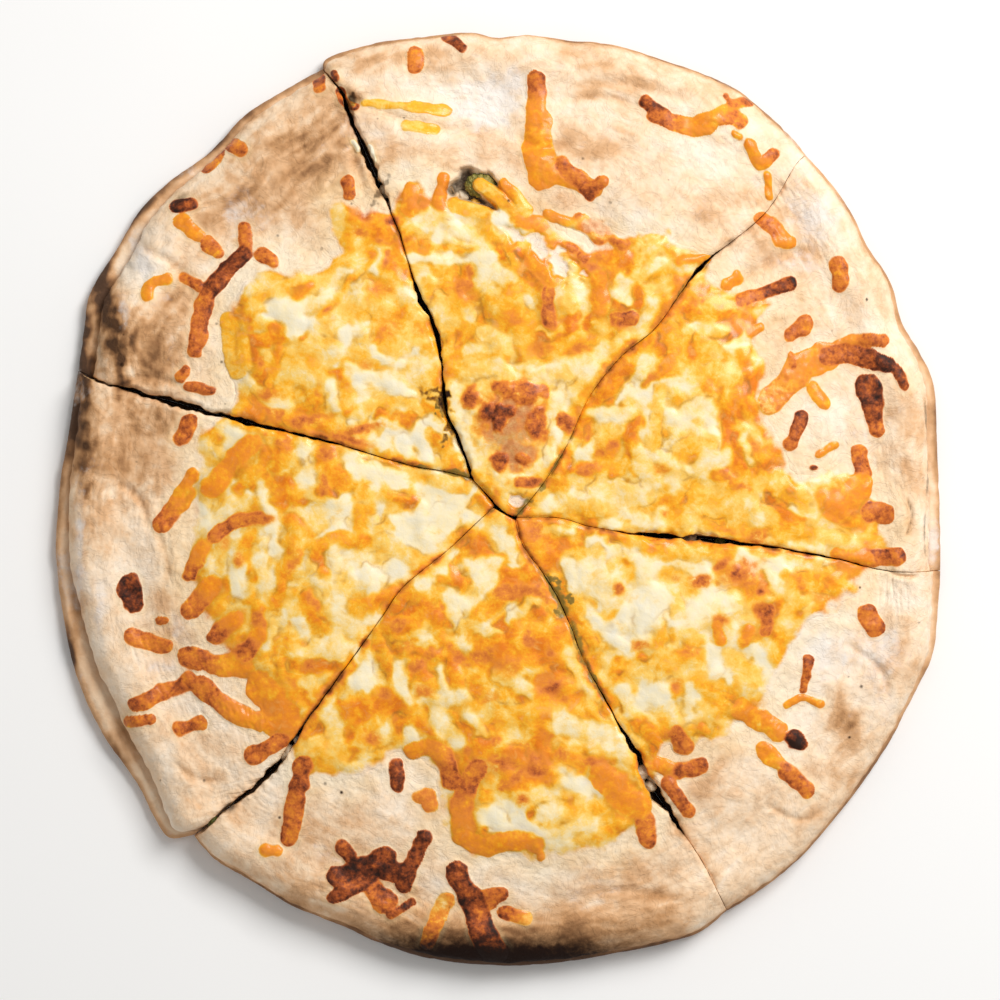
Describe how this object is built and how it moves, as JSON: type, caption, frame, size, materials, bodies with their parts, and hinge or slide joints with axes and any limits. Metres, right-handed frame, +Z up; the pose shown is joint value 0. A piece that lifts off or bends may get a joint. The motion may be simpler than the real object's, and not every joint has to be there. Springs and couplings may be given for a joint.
{
  "type": "buffalo chicken quesadilla",
  "caption": "Round filled flatbread: two rounds of baked dough over chicken, broccoli and cheese, with melted browned cheese on top, cut into slices that still lie together.",
  "frame": {"origin": "bottom centre of the whole round, on the surface that it rests on", "axes": "+Z up, +Y towards the top slice, +X towards the right-hand slices, as the round is seen from above"},
  "size_m": [0.2405, 0.2522, 0.022],
  "materials": {
    "lower_dough": "matt baked dough, floured",
    "filling": "moist chicken, broccoli and cheese",
    "upper_dough": "matt baked dough, pale to toasted, with browned shreds",
    "melted_cheese": "satin melted cheddar and mozzarella, browned in places",
    "broccoli": "matt cooked broccoli"
  },
  "bodies": {
    "root": {"base_crust_top": "lower_dough", "filling_top": "filling", "top_crust_top": "upper_dough", "cheese_top": "melted_cheese", "base_crust_left_upper": "lower_dough", "filling_left_upper": "filling", "top_crust_left_upper": "upper_dough", "cheese_left_upper": "melted_cheese", "base_crust_left_lower": "lower_dough", "filling_left_lower": "filling", "top_crust_left_lower": "upper_dough", "cheese_left_lower": "melted_cheese", "base_crust_bottom": "lower_dough", "filling_bottom": "filling", "top_crust_bottom": "upper_dough", "cheese_bottom": "melted_cheese", "base_crust_right_lower": "lower_dough", "filling_right_lower": "filling", "top_crust_right_lower": "upper_dough", "cheese_right_lower": "melted_cheese", "base_crust_right_upper": "lower_dough", "filling_right_upper": "filling", "top_crust_right_upper": "upper_dough", "cheese_right_upper": "melted_cheese", "broccoli_floret": "broccoli"}
  },
  "joints": []
}
